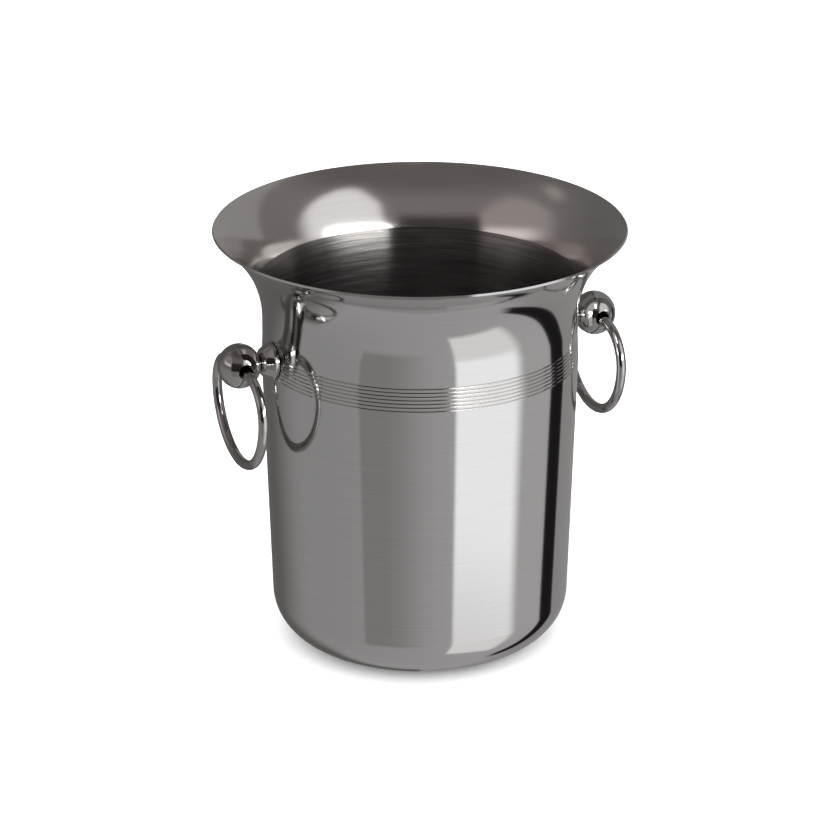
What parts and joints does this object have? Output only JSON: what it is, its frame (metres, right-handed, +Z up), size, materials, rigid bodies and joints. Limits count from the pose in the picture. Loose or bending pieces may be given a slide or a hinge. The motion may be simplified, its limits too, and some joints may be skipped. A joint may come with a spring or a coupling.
{
  "type": "champagne bucket",
  "caption": "Free-standing steel champagne bucket with a flared rim, rounded base, engraved bands below the neck and a drop ring hanging from a ball stud on each side.",
  "frame": {"origin": "middle of the foot, on the surface that the bucket stands on", "axes": "+Z up along the bucket's axis; the ball studs and drop rings stand on +X (right) and -X (left)"},
  "size_m": [0.198, 0.19, 0.2],
  "materials": {
    "vessel_steel": "mirror polished outside, satin inside",
    "handle_chrome": "mirror polished",
    "fastener_steel": "plain bright",
    "seal_rubber": "moulded matt"
  },
  "bodies": {
    "bucket": {"bucket_shell": "vessel_steel", "right_ball": "handle_chrome", "right_collar": "handle_chrome", "right_screw": "fastener_steel", "right_washer": "fastener_steel", "right_seal": "seal_rubber", "left_ball": "handle_chrome", "left_collar": "handle_chrome", "left_screw": "fastener_steel", "left_washer": "fastener_steel", "left_seal": "seal_rubber"},
    "right_handle": {"right_ring": "handle_chrome"},
    "left_handle": {"left_ring": "handle_chrome"}
  },
  "joints": [
    {"name": "right_ring_swing", "type": "hinge", "parent": "bucket", "child": "right_handle", "pos_m": [0.08915, 0, 0.1443], "axis": [0, -1, 0], "range_deg": [-18, 179]},
    {"name": "left_ring_swing", "type": "hinge", "parent": "bucket", "child": "left_handle", "pos_m": [-0.08915, 0, 0.1443], "axis": [0, 1, 0], "range_deg": [-18, 179]}
  ]
}
